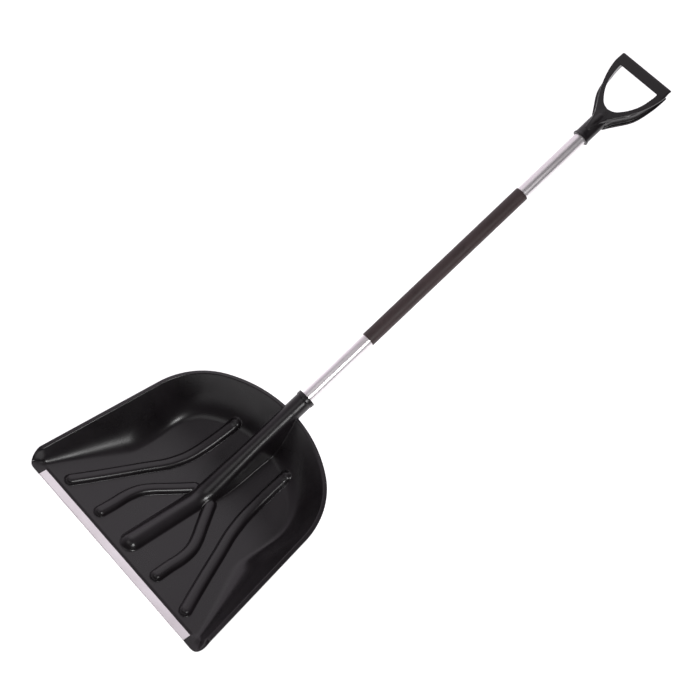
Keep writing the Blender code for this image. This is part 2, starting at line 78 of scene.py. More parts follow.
# Ribs
RIB_HALF_WIDTH = 0.0122
RIB_HEIGHT = 0.0088
SPINE_START = 0.0475        # centre of the spine's rounded front end
SPINE_WIDER = 0.205         # the spine is this share wider than the socket's ridge
SPINE_HEIGHT = 0.0125
SPINE_BEND = 0.0110         # how softly the spine turns up into the socket
RIB_WALL = 0.0026
RIB_CREST = 3.8             # power of the rib's round section: higher is flatter on top
RIB_FOOT = 0.0010           # fillet at the foot of a rib
RIDGE_FILLET = 0.0045       # fillet at the foot of the spine and the ridge
OUTER_RIB = [(0.1600, 0.0385), (0.1445, 0.074), (0.1270, 0.116), (0.1100, 0.158),
             (0.0928, 0.199), (0.0850, 0.224), (0.0792, 0.248), (0.0754, 0.279),
             (0.0728, 0.312), (0.0715, 0.346)]
INNER_RIB = [(0.0786, 0.041), (0.0778, 0.068), (0.0780, 0.098), (0.0740, 0.124),
             (0.0637, 0.147), (0.0485, 0.171), (0.0330, 0.196), (0.0224, 0.2135)]

# Shaft line
SHAFT_ANGLE = math.radians(34)
SHAFT_FOOT_Y = 0.2185
SOCKET_RADIUS = 0.0175
SOCKET_MOUTH = 0.260
RIDGE_DRAFT = math.radians(8)
POCKET_END = 0.270          # the hollow under the ridge stops short of the tube
POCKET_RADIUS = 0.0141
POCKET_LIFT = 0.0085
TAIL_DEPTH = 0.0166         # the hollow behind it stays this far below the shaft line
TAIL_HALF_WIDTH = 0.0125
TAIL_MIDDLE = 0.334
TAIL_HALF_LENGTH = 0.035
SOCKET_START = 0.0865       # the socket's wall begins inside the ridge,
SOCKET_LEAVES = 0.214       # and it leaves the ridge here
BLADE_SCREW_AT = 0.236
HANDLE_SCREW_AT = 0.9945
COLLAR_RADIUS = 0.0190
COLLAR_LENGTH = 0.009
TUBE_RADIUS = 0.0125
TUBE_WALL = 0.0014
TUBE_START = 0.0760
TUBE_END = 1.0340
FIT = 0.0003
SLEEVE_RADIUS = 0.01425
SLEEVE_START = 0.415
SLEEVE_END = 0.816

# Handle, measured along the shaft from the mouth of its socket
HANDLE_MOUTH = 0.9705
HANDLE_SOCKET = 0.0158
HANDLE_LIP = 0.0172

# Wear strip
STRIP_HALF = 0.2010
STRIP_DEPTH = 0.0145
STRIP_SHEET = 0.0010
STRIP_GAP = 0.0014          # depth of the groove in the floor behind the strip
GROOVE_Y = 0.0162
GROOVE_HALF = 0.0016
GROOVE_SIDE = 0.0005

SHAFT = Matrix((
    (1, 0, 0, 0),
    (0, math.sin(SHAFT_ANGLE), math.cos(SHAFT_ANGLE), SHAFT_FOOT_Y),
    (0, -math.cos(SHAFT_ANGLE), math.sin(SHAFT_ANGLE), WALL),
    (0, 0, 0, 1),
))


# ------------------------------------------------------------------ materials

def linear(hex_colour):
    values = []
    for start in (1, 3, 5):
        part = int(hex_colour[start:start + 2], 16) / 255
        values.append(part / 12.92 if part <= 0.04045 else ((part + 0.055) / 1.055) ** 2.4)
    return (*values, 1.0)


def fill(node, values):
    """Set a node's inputs, by name or number: a socket is linked, a #colour made linear."""
    for key, value in values.items():
        if isinstance(value, bpy.types.NodeSocket):
            node.id_data.links.new(value, node.inputs[key])
        elif isinstance(value, str) and value.startswith("#"):
            node.inputs[key].default_value = linear(value)
        else:
            node.inputs[key].default_value = value
    return node


def add_node(tree, kind, values=None, **settings):
    """Add a node, with its properties from settings and its inputs from values."""
    node = tree.nodes.new(kind)
    for name, value in settings.items():
        setattr(node, name, value)
    return fill(node, values or {})


def new_surface(name, values):
    """Principled material: itself, its shader, a way to add nodes, Object coordinates."""
    material = bpy.data.materials.new(name)
    material.use_nodes = True
    add = partial(add_node, material.node_tree)
    shader = fill(material.node_tree.nodes["Principled BSDF"], values)
    return material, shader, add, add("ShaderNodeTexCoord").outputs["Object"]


def marks(add, place, size_mm, detail, low=0.0, high=1.0, stretch=(1, 1, 1), turn=(0, 0, 0),
          twist=0.0):
    """Cloudy marks of a real size, 0 to 1 between two levels of the noise. A stretch
    below 1 draws them out along that axis, after the turn."""
    turned = add("ShaderNodeMapping", {"Vector": place, "Rotation": turn},
                 vector_type="TEXTURE").outputs[0]
    drawn = add("ShaderNodeVectorMath", {0: turned, 1: stretch}, operation="MULTIPLY").outputs[0]
    cloud = add("ShaderNodeTexNoise", {"Vector": drawn, "Scale": 1000 / size_mm,
                                       "Detail": detail, "Roughness": 0.55,
                                       "Distortion": twist}).outputs["Fac"]
    return add("ShaderNodeMapRange", {"Value": cloud, "From Min": low,
                                      "From Max": high}).outputs["Result"]


def tinted(add, base, tint, share, most=1.0):
    """Colour that goes from base towards tint as share goes from 0 to 1."""
    part = add("ShaderNodeMath", {0: share, 1: most}, operation="MULTIPLY").outputs[0]
    return add("ShaderNodeMix", {0: part, 6: base, 7: tint}, data_type="RGBA").outputs[2]


def raised(add, value, share, base):
    """Value that grows from base by this much as share goes from 0 to 1."""
    return add("ShaderNodeMath", {0: share, 1: value, 2: base},
               operation="MULTIPLY_ADD").outputs[0]


def uneven(add, height, depth_mm, strength):
    """Normal of a surface that is this deep between the pattern's 0 and 1."""
    return add("ShaderNodeBump", {"Height": height, "Strength": strength,
                                  "Distance": depth_mm * MM}).outputs["Normal"]


def moulded_plastic():
    """Semi-gloss black polypropylene: faint flow marks, pale scuffs, calm long waves and
    a grain, drawn coarser than life, that only breaks up the gloss."""
    material, shader, add, place = new_surface("moulded black polypropylene", {})
    flow = marks(add, place, 90, 3, 0.35, 0.65, twist=0.6)
    grain = marks(add, place, 0.9, 2, 0.3, 0.7)
    scuffs = marks(add, place, 3.2, 6, 0.66, 0.76, (1.0, 0.16, 1.0), (0, 0, 0.5))
    patches = marks(add, place, 60, 2, 0.48, 0.62)
    scuffs = add("ShaderNodeMath", {0: scuffs, 1: patches}, operation="MULTIPLY").outputs[0]
    gloss = raised(add, 0.06, flow, 0.25)
    gloss = raised(add, 0.12, scuffs, gloss)
    base = tinted(add, "#181517", "#1E1A1D", flow)
    fill(shader, {"Base Color": tinted(add, base, "#4A4446", scuffs, 0.22),
                  "Roughness": raised(add, 0.04, grain, gloss),
                  "Normal": uneven(add, marks(add, place, 34, 1), 0.03, 0.3)})
    return material


def grip_plastic():
    """Satin soft sleeve: browner and duller than the scoop, with rub marks along it."""
    material, shader, add, place = new_surface("satin black grip sleeve",
                                               {"Specular IOR Level": 0.45})
    cloud = marks(add, place, 40, 4, 0.35, 0.7)
    rub = marks(add, place, 2.4, 5, 0.62, 0.75, (1, 1, 0.15), (-0.98, 0, 0))
    pebble = add("ShaderNodeTexVoronoi", {"Vector": place, "Scale": 1000 / 2.2})
    base = tinted(add, "#3C2F2F", "#463838", cloud)
    fill(shader, {"Base Color": tinted(add, base, "#5C504E", rub, 0.4),
                  "Roughness": raised(add, 0.12, cloud, 0.48),
                  "Normal": uneven(add, pebble.outputs["Distance"], 0.01, 0.4)})
    return material


def drawn_aluminium(name, stretch, turn):
    """Satin silver aluminium: drawing lines along the piece, drawn coarser than life,
    streak its gloss, and small specks dull it."""
    material, shader, add, place = new_surface(name, {"Metallic": 0.86})
    lines = marks(add, place, 0.8, 2, 0.3, 0.7, stretch, turn)
    cloud = marks(add, place, 70, 3, 0.35, 0.65)
    specks = marks(add, place, 1.6, 3, 0.70, 0.78)
    base = tinted(add, "#EDE8EA", "#F6F2F4", cloud)
    gloss = raised(add, 0.10, lines, 0.32)
    fill(shader, {"Base Color": tinted(add, base, "#B5B0AF", specks, 0.3),
                  "Roughness": raised(add, 0.12, specks, gloss)})
    return material


def zinc_steel():
    """Bright zinc plate on steel: faint yellow and blue tarnish, brighter worn edges."""
    material, shader, add, place = new_surface("zinc plated steel", {"Metallic": 1.0})
    rounded_off = add("ShaderNodeBevel", {"Radius": 0.25 * MM}, samples=4).outputs["Normal"]
    true_normal = add("ShaderNodeNewGeometry").outputs["Normal"]
    match = add("ShaderNodeVectorMath", {0: rounded_off, 1: true_normal},
                operation="DOT_PRODUCT").outputs["Value"]
    worn = add("ShaderNodeMapRange", {"Value": match, "From Min": 0.995, "From Max": 0.90})
    base = tinted(add, "#A9ADB2", "#C2BFB4", marks(add, place, 5, 4, 0.35, 0.65))
    fill(shader, {"Base Color": tinted(add, base, "#DDDDDD", worn.outputs["Result"]),
                  "Roughness": raised(add, 0.18, marks(add, place, 1.2, 4, 0.3, 0.7), 0.24),
                  "Normal": uneven(add, marks(add, place, 0.4, 3), 0.008, 0.5)})
    return material


def studio_floor():
    """Matte white light table: glows softly, so it stays white, with a slight tooth."""
    material, shader, add, place = new_surface(
        "white light table", {"Roughness": 0.9, "Specular IOR Level": 0.1,
                              "Emission Color": (1, 1, 1, 1), "Emission Strength": 0.74})
    cloud = marks(add, place, 300, 2, 0.3, 0.7)
    fill(shader, {"Base Color": tinted(add, "#F7F7F7", "#FAFAFA", cloud),
                  "Normal": uneven(add, marks(add, place, 1.5, 2), 0.02, 0.2)})
    return material


# ---------------------------------------------------------------- small tools

def make_object(name, points, faces, material, sharp=None):
    """Object from drawn-frame points: moved into the part's frame, at the origin."""
    mesh = bpy.data.meshes.new(name)
    moved = [(x, y - ORIGIN_BEHIND_EDGE, z) for x, y, z in points]
    mesh.from_pydata(moved, [], faces)
    mesh.update()
    mesh.materials.append(material)
    mesh.shade_smooth()
    if sharp:
        mesh.set_sharp_from_angle(angle=math.radians(sharp))
    made = bpy.data.objects.new(name, mesh)
    bpy.context.scene.collection.objects.link(made)
    return made


def settle(item):
    """Turn an object with modifiers into a plain mesh."""
    graph = bpy.context.evaluated_depsgraph_get()
    graph.update()
    mesh = bpy.data.meshes.new_from_object(item.evaluated_get(graph))
    old = item.data
    item.modifiers.clear()
    item.data = mesh
    bpy.data.meshes.remove(old)
    return item


def hand_over(item, node):
    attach(item, "root")
    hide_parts(node)


def smooth_step(value):
    value = np.clip(value, 0.0, 1.0)
    return value * value * (3 - 2 * value)


def ramp(value, span):
    """0 before the span, 1 past it, smooth between."""
    return smooth_step((value - span[0]) / (span[1] - span[0]))


def soft_low(first, second, reach):
    """Smaller of two values, rounded off where they cross."""
    share = np.clip(0.5 + 0.5 * (second - first) / reach, 0, 1)
    return second * (1 - share) + first * share - reach * share * (1 - share)


def soft_high(first, second, reach):
    """Larger of two values, rounded off where they cross."""
    return -soft_low(-first, -second, reach)


def smooth_path(corners, steps):
    """Points of a curve that passes through every corner."""
    corners = [np.array(corner, float) for corner in corners]
    ends = [2 * corners[0] - corners[1]] + corners + [2 * corners[-1] - corners[-2]]
    path = []
    for before, first, second, after in zip(ends, ends[1:], ends[2:], ends[3:]):
        for share in np.arange(steps) / steps:
            path.append(0.5 * (2 * first + share * (second - before)
                               + share ** 2 * (2 * before - 5 * first + 4 * second - after)
                               + share ** 3 * (3 * first - before - 3 * second + after)))
    return np.array(path + [corners[-1]])


def rings(count, size):
    """Point numbers of this many rings of one size."""
    return [list(range(start * size, (start + 1) * size)) for start in range(count)]


def skin(loops, turned_round=False):
    """Faces between each loop of point numbers and the next."""
    faces = []
    for first, second in zip(loops, loops[1:]):
        for a, b, c, d in zip(first, first[1:] + first[:1], second[1:] + second[:1], second):
            faces.append((d, c, b, a) if turned_round else (a, b, c, d))
    return faces


def capped(loops):
    """Faces of a solid whose loops run towards -Z or +X, closed at both ends."""
    return [tuple(loops[0]), tuple(loops[-1][::-1])] + skin(loops, turned_round=True)


def turned(name, profile, material, sides=96, bend=None):
    """Body turned about the shaft line. profile is a loop of (radius, along)."""
    points = []
    for radius, along in profile:
        for side in range(sides):
            angle = math.tau * side / sides
            reach, place = bend(angle, radius, along) if bend else (radius, along)
            spot = SHAFT @ Vector((reach * math.cos(angle), reach * math.sin(angle), place))
            points.append(tuple(spot))
    loops = rings(len(profile), sides)
    return make_object(name, points, skin(loops + loops[:1]), material, 35)


# ---------------------------------------------------------------- blade shape

def rim_outline(spacing):
    """Rim seen from above, right ear round the back to left ear: points and normals."""
    lean = np.array((math.cos(SIDE_LEAN), math.sin(SIDE_LEAN)))
    reach = SIDE_END[0] + (SIDE_END[1] - EAR_RADIUS * (1 + lean[1])) * math.tan(SIDE_LEAN)
    ear = np.array((reach - EAR_RADIUS * lean[0], EAR_RADIUS))
    corner = SIDE_END - CORNER_RADIUS * lean
    turn = np.array((math.cos(BACK_TURN), math.sin(BACK_TURN)))
    meeting = corner + CORNER_RADIUS * turn
    back = np.array((0, meeting[1] - math.sqrt(BACK_RADIUS ** 2 - meeting[0] ** 2)))
    back_start = math.acos(meeting[0] / BACK_RADIUS)

    def arc(centre, radius, first, last):
        count = max(4, int(radius * abs(last - first) / spacing))
        angles = np.linspace(first, last, count + 1)
        normals = np.stack((np.cos(angles), np.sin(angles)), 1)
        return centre + radius * normals, normals

    pieces = [arc(ear, EAR_RADIUS, -math.pi / 2, SIDE_LEAN)]
    start = pieces[0][0][-1]
    count = int(np.linalg.norm(SIDE_END - start) / spacing)
    shares = np.arange(1, count)[:, None] / count
    pieces.append((start + (SIDE_END - start) * shares, np.repeat(lean[None], count - 1, 0)))
    for centre, radius, first, last in ((corner, CORNER_RADIUS, SIDE_LEAN, BACK_TURN),
                                        (back, BACK_RADIUS, back_start, math.pi / 2)):
        points, normals = arc(centre, radius, first, last)
        pieces.append((points, normals) if centre is corner else (points[1:], normals[1:]))
    points = np.concatenate([piece[0] for piece in pieces])
    normals = np.concatenate([piece[1] for piece in pieces])
    flip = np.array((-1, 1))
    return (np.concatenate((points, (points * flip)[-2::-1])),
            np.concatenate((normals, (normals * flip)[-2::-1])))


RIM_POINTS, RIM_NORMALS = rim_outline(0.0012)
RIM_SWING = np.arctan2(RIM_POINTS[:, 1], RIM_POINTS[:, 0])
RIM_REACH = np.hypot(RIM_POINTS[:, 0], RIM_POINTS[:, 1])


def rim_finder():
    tree = KDTree(len(RIM_POINTS))
    for index, (x, y) in enumerate(RIM_POINTS.tolist()):
        tree.insert((x, y, 0), index)
    tree.balance()
    return tree


RIM_FINDER = rim_finder()


def rim_beside(x, y):
    """Distance in from the rim, and the rim's outward normal at the nearest place."""
    nearest = np.array([RIM_FINDER.find((a, b, 0))[1] for a, b in zip(x.tolist(), y.tolist())])
    way = RIM_POINTS[nearest] - np.stack((x, y), 1)
    normal = RIM_NORMALS[nearest]
    along = way[:, 0] * normal[:, 1] - way[:, 1] * normal[:, 0]
    inset = np.sqrt(np.maximum((way ** 2).sum(1) - np.minimum(along ** 2, 0.0007 ** 2), 0))
    return inset, normal


def floor_height(y):
    """Flat at the front, rising at the back after a soft bend."""
    past = y - FLOOR_RISE_Y
    bend = np.clip(past, -FLOOR_BEND, FLOOR_BEND) + FLOOR_BEND
    return FLOOR_RISE * (bend ** 2 / (4 * FLOOR_BEND) + np.maximum(past - FLOOR_BEND, 0))


def blade_height(x, y):
    """Upper face's height above the floor, distance in from the rim, and the rim's climb."""
    swing = np.arctan2(np.maximum(y, 0), x)
    edge_y = np.interp(swing, RIM_SWING, RIM_REACH) * np.sin(swing)
    level = y + (edge_y - y) * ramp(y, EAR_TO_WALL)
    climb = smooth_step(level / EAR_RISE)
    rim = (RIM_FRONT + RIM_SLOPE * level) * climb
    inset = rim_beside(x, y)[0]
    run = SIDE_RUN + (BACK_RUN - SIDE_RUN) * ramp(edge_y, SIDE_TO_BACK)
    wall = rim - (inset - LIP * climb) / run
    side, back = FOLD_SOFTNESS
    fillet = rim * (side + (back - side) * ramp(edge_y, FOLD_CHANGE)) + 1e-6
    bowl = soft_high(wall, floor_height(y), fillet)
    height = soft_low(bowl, rim, np.minimum(LIP_BEND, rim * 0.5) + 1e-9)
    return height, inset, climb


def ridge_height(x, y, radius, spine_height, shaft_lift):
    """Top of the spine and of the socket's ridge behind it: round, with drafted sides."""
    steep = 1 / math.tan(RIDGE_DRAFT)
    slope = 1 / math.cos(SHAFT_ANGLE)
    turn = steep / math.hypot(steep, slope)
    wider = 1 + SPINE_WIDER * (1 - smooth_step((y - SHAFT_FOOT_Y) / 0.12))
    away = np.hypot(x, np.minimum(y - SPINE_START, 0)) / wider
    side = np.minimum(away / radius, turn)
    dome = radius * slope * (np.sqrt(1 - side ** 2) - 1)
    below = np.maximum(away - turn * radius, 0) * steep
    climb = (y - SHAFT_FOOT_Y) * math.tan(SHAFT_ANGLE) + shaft_lift * slope
    return WALL + soft_high(climb, spine_height, SPINE_BEND) + dome - below


def tail_pocket(x, y):
    """Roof of the shallow hollow under the tube, in the rising back of the scoop."""
    steep = 1 / math.tan(RIDGE_DRAFT)
    climb = (y - SHAFT_FOOT_Y) * math.tan(SHAFT_ANGLE)
    roof = WALL + climb - TAIL_DEPTH / math.cos(SHAFT_ANGLE)
    outside = (np.maximum(np.abs(x) - TAIL_HALF_WIDTH, 0)
               + np.maximum(np.abs(y - TAIL_MIDDLE) - TAIL_HALF_LENGTH, 0))
    return roof - outside * steep


def rib_rows():
    """Plan points in rows along every rib, closest together where the sides are steep."""
    offsets = np.array((0, 2.2, 4.2, 6.0, 7.5, 8.7, 9.7, 10.5, 11.1, 11.7, 12.3, 13.0, 14.4)) * MM
    rows = []
    for corners in (OUTER_RIB, INNER_RIB):
        path = smooth_path(corners, 18)
        heading = np.gradient(path, axis=0)
        heading /= np.linalg.norm(heading, axis=1)[:, None]
        across = np.stack((-heading[:, 1], heading[:, 0]), 1)
        for offset in offsets:
            for sign in ((1, -1) if offset else (1,)):
                rows.append(path + across * offset * sign)
        for end, way in ((path[0], -heading[0]), (path[-1], heading[-1])):
            start = math.atan2(way[1], way[0])
            for offset in offsets[1:]:
                angles = start + np.linspace(-1.45, 1.45, max(5, int(offset / MM * 1.6)))
                rows.append(end + offset * np.stack((np.cos(angles), np.sin(angles)), 1))
    rows = np.concatenate(rows)
    return np.concatenate((rows, rows * (-1, 1)))


def plan_points(spacing):
    """Points over the blade seen from above. The first ones are its boundary, in order."""
    rim, normals = rim_outline(0.0021)
    rim_in = rim - normals * EDGE_ROUND
    rim_in[:, 1] = np.maximum(rim_in[:, 1], EDGE_ROUND)
    front_x = np.linspace(rim_in[-1, 0], rim_in[0, 0], 170)[1:-1]
    front = np.stack((front_x, np.full(len(front_x), EDGE_ROUND)), 1)
    boundary = np.concatenate((rim_in, front))
    groups = [boundary]
    for inset in (1.9, 2.4, 3.0, 4.2, 5.2, 6.2, 6.9, 7.5, 8.1, 8.8, 9.8, 11.2, 13.0, 15.0):
        groups.append((rim - normals * inset * MM)[2:-2])
    past_ear = rim[:, 1] > 0.035
    for inset in np.arange(17.2, 62, 2.5):
        groups.append((rim - normals * inset * MM)[past_ear])
    ridge_x = np.array((0, 3.4, 6.6, 9.6, 12.2, 14.4, 15.9, 17.0, 17.8, 18.5, 19.2, 20.0, 20.9,
                        21.9, 23.0, 24.4, 26.2)) * MM
    columns = np.concatenate((-ridge_x[:0:-1], ridge_x))
    groups.append(np.array([(x, y) for y in np.arange(0.150, 0.402, 0.0024) for x in columns]))
    spine_x = np.array((0, 3.4, 6.8, 9.8, 12.4, 14.6, 16.2, 17.4, 18.3, 19.1, 19.9, 20.8, 21.9,
                        23.4)) * MM
    columns = np.concatenate((-spine_x[:0:-1], spine_x))
    groups.append(np.array([(x, y) for y in np.arange(0.024, 0.150, 0.0020) for x in columns]))
    groups.append(rib_rows())
    seat = np.arange(-0.2013, 0.2014, 0.0033)
    for y in (0.0040, 0.0075, 0.0110, 0.0140, 0.0146, 0.0151, 0.0162, 0.0173, 0.0178, 0.0195):
        groups.append(np.stack((seat, np.full(len(seat), y)), 1))
    rows = np.arange(0.003, 0.402, spacing * 0.866)
    fill = [(x + (index % 2) * spacing / 2, y) for index, y in enumerate(rows)
            for x in np.arange(-0.235, 0.236, spacing)]
    groups.append(np.array(fill))
    return thin_out(groups, len(boundary))


def thin_out(groups, keep):
    """Drop points that crowd an earlier one or fall outside the boundary."""
    gaps = [0.0] + [0.00055] * (len(groups) - 2) + [0.0019]
    cell = 0.002
    taken = {}
    kept = []
    for group, gap in zip(groups, gaps):
        inset = blade_height(group[:, 0], group[:, 1])[1]
        for (x, y), depth in zip(group.tolist(), inset.tolist()):
            inside = len(kept) < keep or (depth > EDGE_ROUND + 0.0004 and y > 0.0014)
            if not inside:
                continue
            column, row = int(x // cell), int(y // cell)
            near = (other for i in (-1, 0, 1) for j in (-1, 0, 1)
                    for other in taken.get((column + i, row + j), ()))
            if gap and any((x - a) ** 2 + (y - b) ** 2 < gap * gap for a, b in near):
                continue
            taken.setdefault((column, row), []).append((x, y))
            kept.append((x, y))
    return kept, keep


def blade_plan():
    kept, count = plan_points(0.0031)
    edges = [(index, (index + 1) % count) for index in range(count)]
    loop = [list(range(count))]
    points, _, faces, origin, _, _ = delaunay_2d_cdt(
        [Vector(point) for point in kept], edges, loop, 1, 1e-7)
    place = np.array([tuple(point) for point in points])
    where = {}
    for index, sources in enumerate(origin):
        for source in sources:
            where[source] = index
    boundary = [where[index] for index in range(count)]
    return place, [tuple(face) for face in faces], boundary


def lower_height(x, y, inset, climb):
    """Underside of the moulding: an even wall below the upper face, the rim's turned
    edge and the seat of the wear strip."""
    inward = -rim_beside(x, y)[1]
    lower = np.full(len(x), 1.0)
    for share in (0, 0.3, 0.55, 0.75, 0.88, 0.96, 1.0):
        step = inward * WALL * share * smooth_step(y / 0.02)[:, None]
        level = blade_height(x + step[:, 0], y + step[:, 1])[0]
        lower = np.minimum(lower, level + WALL * (1 - math.sqrt(1 - share ** 2)))
    hang = SKIRT_DROP * climb * smooth_step((SKIRT_THICK + 0.0006 - inset) / 0.0006)
    seat = (np.abs(x) < STRIP_HALF + FIT + 0.0001) & (y < STRIP_DEPTH + FIT + 0.0001)
    return np.where(seat, lower - hang + STRIP_SHEET + FIT, lower - hang)


def blade_shell():
    """Closed shell of the scoop before its ribs are raised."""
    place, faces, boundary = blade_plan()
    x, y = place[:, 0], place[:, 1]
    height, inset, climb = blade_height(x, y)
    lower = lower_height(x, y, inset, climb)
    ridge = ridge_height(x, y, SOCKET_RADIUS, SPINE_HEIGHT, SOCKET_RADIUS)
    front_pocket = ridge_height(x, y, POCKET_RADIUS, SPINE_HEIGHT - RIB_WALL - WALL,
                                POCKET_LIFT)
    pocket = np.where(y < POCKET_END, front_pocket, tail_pocket(x, y))
    groove = smooth_step((GROOVE_HALF - np.abs(y - GROOVE_Y)) / GROOVE_SIDE)
    gap = np.where(np.abs(x) < STRIP_HALF + FIT, groove, 0)
    upper_points = np.stack((x, y, height + WALL - STRIP_GAP * gap), 1)
    lower_points = np.stack((x, y, lower), 1)
    total = len(place)
    points = [upper_points, lower_points]
    side = [np.ones(total), -np.ones(total)]
    ridges = [ridge, pocket]
    out_normal = boundary_normals(place[boundary])
    edge = place[boundary]
    top = np.maximum(height[boundary] + WALL, ridge[boundary])
    bottom = lower[boundary]
    depth = EDGE_ROUND
    rings = [(0.5 * depth, top - 0.134 * depth), (0.866 * depth, top - 0.5 * depth),
             (depth, top - depth), (depth, bottom + 0.6 * depth),
             (0.75 * depth, bottom + 0.2 * depth)]
    for out, level in rings:
        moved = edge + out_normal * out
        points.append(np.stack((moved[:, 0], moved[:, 1], level), 1))
        side.append(np.zeros(len(boundary)))
        ridges.append(np.full(len(boundary), -1.0))
    closed = faces + [tuple(total + index for index in reversed(face)) for face in faces]
    loops = [list(boundary)]
    for ring in range(len(rings)):
        start = 2 * total + ring * len(boundary)
        loops.append(list(range(start, start + len(boundary))))
    loops.append([total + index for index in boundary])
    for first, second in zip(loops, loops[1:]):
        for index in range(len(first)):
            after = (index + 1) % len(first)
            closed.append((first[index], second[index], second[after], first[after]))
    return (np.concatenate(points), closed, np.concatenate(side), np.concatenate(ridges))


def boundary_normals(loop):
    ahead = np.roll(loop, -1, 0) - np.roll(loop, 1, 0)
    normal = np.stack((ahead[:, 1], -ahead[:, 0]), 1)
    return normal / np.linalg.norm(normal, axis=1)[:, None]


def path_object(name, paths):
    """Loose edges along the blade's upper face that the ribs are raised over."""
    points = []
    edges = []
    for path in paths:
        start = len(points)
        level = blade_height(path[:, 0], path[:, 1])[0]
        points += [(x, y - ORIGIN_BEHIND_EDGE, z + WALL) for (x, y), z in zip(path, level)]
        edges += [(start + i, start + i + 1) for i in range(len(path) - 1)]
    mesh = bpy.data.meshes.new(name)
    mesh.from_pydata(points, edges, [])
    made = bpy.data.objects.new(name, mesh)
    bpy.context.scene.collection.objects.link(made)
    made.hide_render = True
    return made


def rib_raiser():
    """Tree that raises rounded ribs over guide paths, then lets the socket's ridge
    through. Also the identifiers of its inputs, by name."""
    tree = bpy.data.node_groups.new("raise ribs", "GeometryNodeTree")
    kinds = {"Geometry": "NodeSocketGeometry", "Rib paths": "NodeSocketObject",
             "Rib half width": "NodeSocketFloat", "Rib height": "NodeSocketFloat",
             "Rib wall": "NodeSocketFloat", "Crest power": "NodeSocketFloat",
             "Foot fillet": "NodeSocketFloat", "Ridge fillet": "NodeSocketFloat",
             "Material": "NodeSocketMaterial"}
    keys = {label: tree.interface.new_socket(label, in_out="INPUT", socket_type=kind).identifier
            for label, kind in kinds.items()}
    tree.interface.new_socket("Geometry", in_out="OUTPUT", socket_type="NodeSocketGeometry")
    add = partial(add_node, tree)
    given = add("NodeGroupInput").outputs
    side, ridge = (add("GeometryNodeInputNamedAttribute", {"Name": name},
                       data_type="FLOAT").outputs["Attribute"] for name in ("side", "ridge"))

    # The channel below a rib is narrower and lower than the rib by the rib's wall.
    under = add("ShaderNodeMath", {0: side, 1: -0.5}, operation="LESS_THAN").outputs[0]
    wall = add("ShaderNodeMath", {0: under, 1: given["Rib wall"]},
               operation="MULTIPLY").outputs[0]
    half = add("ShaderNodeMath", {0: given["Rib half width"], 1: wall},
               operation="SUBTRACT").outputs[0]
    tall = add("ShaderNodeMath", {0: given["Rib height"], 1: wall},
               operation="SUBTRACT").outputs[0]

    # The rib's round section: 1 - share ** power, from its middle line to its foot.
    guide = add("GeometryNodeObjectInfo", {"Object": given["Rib paths"]},
                transform_space="RELATIVE").outputs["Geometry"]
    away = add("GeometryNodeProximity", {0: guide}, target_element="EDGES").outputs["Distance"]
    share = add("ShaderNodeMath", {0: away, 1: half}, operation="DIVIDE").outputs[0]
    bowed = add("ShaderNodeMath", {0: share, 1: given["Crest power"]},
                operation="POWER").outputs[0]
    curve = add("ShaderNodeMath", {0: 1.0, 1: bowed}, operation="SUBTRACT").outputs[0]
    swell = add("ShaderNodeMath", {0: curve, 1: tall}, operation="MULTIPLY").outputs[0]
    rise = add("ShaderNodeMath", {0: swell, 1: 0.0, 2: given["Foot fillet"]},
               operation="SMOOTH_MAX").outputs[0]
    lift = add("ShaderNodeMath", {0: rise, 1: side}, operation="MULTIPLY").outputs[0]
    normal = add("GeometryNodeInputNormal").outputs[0]
    push = add("ShaderNodeVectorMath", {0: normal, "Scale": lift}, operation="SCALE").outputs[0]
    ribbed = add("GeometryNodeSetPosition", {"Geometry": given["Geometry"],
                                             "Offset": push}).outputs[0]

    place = add("GeometryNodeInputPosition").outputs[0]
    axes = add("ShaderNodeSeparateXYZ", {0: place}).outputs
    level = add("ShaderNodeMath", {0: axes["Z"], 1: ridge, 2: given["Ridge fillet"]},
                operation="SMOOTH_MAX").outputs[0]
    moved = add("ShaderNodeCombineXYZ", {"X": axes["X"], "Y": axes["Y"],
                                         "Z": level}).outputs[0]
    bridged = add("GeometryNodeSetPosition", {"Geometry": ribbed,
                                              "Position": moved}).outputs[0]
    real = add("GeometryNodeRealizeInstances", {"Geometry": bridged}).outputs[0]
    dressed = add("GeometryNodeSetMaterial", {"Geometry": real,
                                              "Material": given["Material"]}).outputs[0]
    add("NodeGroupOutput", {"Geometry": dressed})
    return tree, keys


def build_blade(material):
    points, faces, side, ridge = blade_shell()
    shell = make_object("scoop_moulding", points.tolist(), faces, material)
    for name, values in (("side", side), ("ridge", ridge)):
        layer = shell.data.attributes.new(name, "FLOAT", "POINT")
        layer.data.foreach_set("value", values)
    flip = np.array((-1, 1))
    paths = [smooth_path(corners, 12) for corners in (OUTER_RIB, INNER_RIB)]
    ribs = path_object("rib guide", paths + [path * flip for path in paths])
    step = shell.modifiers.new("ribs", "NODES")
    step.node_group, keys = rib_raiser()
    sizes = {"Rib paths": ribs, "Rib half width": RIB_HALF_WIDTH, "Rib height": RIB_HEIGHT,
             "Rib wall": RIB_WALL, "Crest power": RIB_CREST, "Foot fillet": RIB_FOOT,
             "Ridge fillet": RIDGE_FILLET, "Material": material}
    for label, value in sizes.items():
        step[keys[label]] = value
    settle(shell)
    bpy.data.objects.remove(ribs, do_unlink=True)
    hand_over(shell, "scoop_blade")
    return shell


